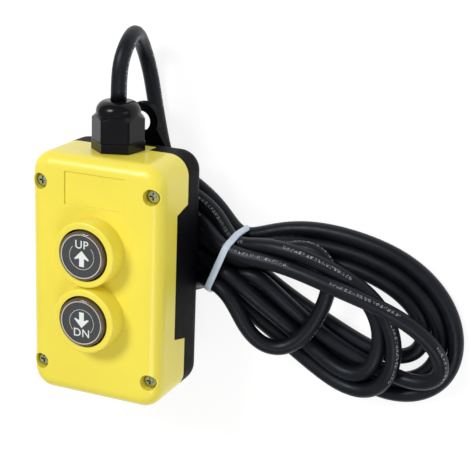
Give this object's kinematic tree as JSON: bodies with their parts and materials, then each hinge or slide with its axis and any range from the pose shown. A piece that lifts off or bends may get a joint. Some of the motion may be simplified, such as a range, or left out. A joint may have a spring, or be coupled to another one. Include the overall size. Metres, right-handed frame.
{
  "type": "pendant control station",
  "caption": "Hand-held pendant station with raised round push buttons, a hang eye, a cable gland and a long lead tied in a loose hank.",
  "frame": {"origin": "centre of the hang eye, on its axis and halfway through its thickness", "axes": "+Z out of the front cover, +Y towards the hang eye and cable end, +X to the right seen from the front"},
  "size_m": [0.2459, 0.2234, 0.0846],
  "materials": {
    "cover_yellow": "satin moulded ABS, yellow",
    "casing_black": "fine textured moulded ABS, black",
    "seal_rubber": "matt moulded rubber",
    "zinc_steel": "bright zinc plated, slightly yellow green",
    "plate_steel": "zinc plated sheet steel",
    "lens_clear": "clear polished polycarbonate",
    "legend_grey": "printed dark grey disc with white marks",
    "plunger_dark": "dark smoky moulded plastic",
    "spring_steel": "drawn spring wire",
    "block_plastic": "cream glass filled nylon",
    "contact_brass": "stamped brass",
    "gland_nylon": "black nylon, satin flats and glossy dome",
    "cable_jacket": "satin black PVC rubber jacket",
    "core_white": "white core insulation",
    "core_black": "black core insulation",
    "core_red": "red core insulation",
    "core_green": "green core insulation",
    "tie_nylon": "natural translucent nylon",
    "ring_tin": "tinned copper"
  },
  "bodies": {
    "housing": {"cover_gasket": "seal_rubber", "front_cover": "cover_yellow", "rear_casing": "casing_black", "cover_screws": "zinc_steel", "switch_plate": "plate_steel", "plate_screws": "zinc_steel", "block_screws": "zinc_steel", "up_bezel": "casing_black", "up_return_spring": "spring_steel", "up_contact_block": "block_plastic", "up_fixed_contacts": "contact_brass", "up_terminal_screws": "zinc_steel", "down_bezel": "casing_black", "down_return_spring": "spring_steel", "down_contact_block": "block_plastic", "down_fixed_contacts": "contact_brass", "down_terminal_screws": "zinc_steel", "gland_washer": "seal_rubber", "gland_body": "gland_nylon", "gland_seal": "seal_rubber", "gland_nut": "gland_nylon", "gland_locknut": "gland_nylon", "cable_entry": "cable_jacket", "core_white": "core_white", "core_black": "core_black", "core_red": "core_red", "core_green": "core_green", "cable_lead": "cable_jacket", "cable_hank": "cable_jacket", "cable_tie": "tie_nylon", "cable_end": "cable_jacket", "end_sleeve": "seal_rubber", "end_leads": "core_white", "ring_terminals": "ring_tin"},
    "up_button": {"up_lens": "lens_clear", "up_legend_disc": "legend_grey", "up_plunger": "plunger_dark", "up_contact_bridge": "contact_brass"},
    "down_button": {"down_lens": "lens_clear", "down_legend_disc": "legend_grey", "down_plunger": "plunger_dark", "down_contact_bridge": "contact_brass"}
  },
  "joints": [
    {"name": "up_press", "type": "slide", "parent": "housing", "child": "up_button", "axis": [0, 0, -1], "range_m": [0, 0.004], "stiffness_N_per_m": 900, "springref_m": -0.006, "deforming": ["up_return_spring"]},
    {"name": "down_press", "type": "slide", "parent": "housing", "child": "down_button", "axis": [0, 0, -1], "range_m": [0, 0.004], "stiffness_N_per_m": 900, "springref_m": -0.006, "deforming": ["down_return_spring"]}
  ]
}
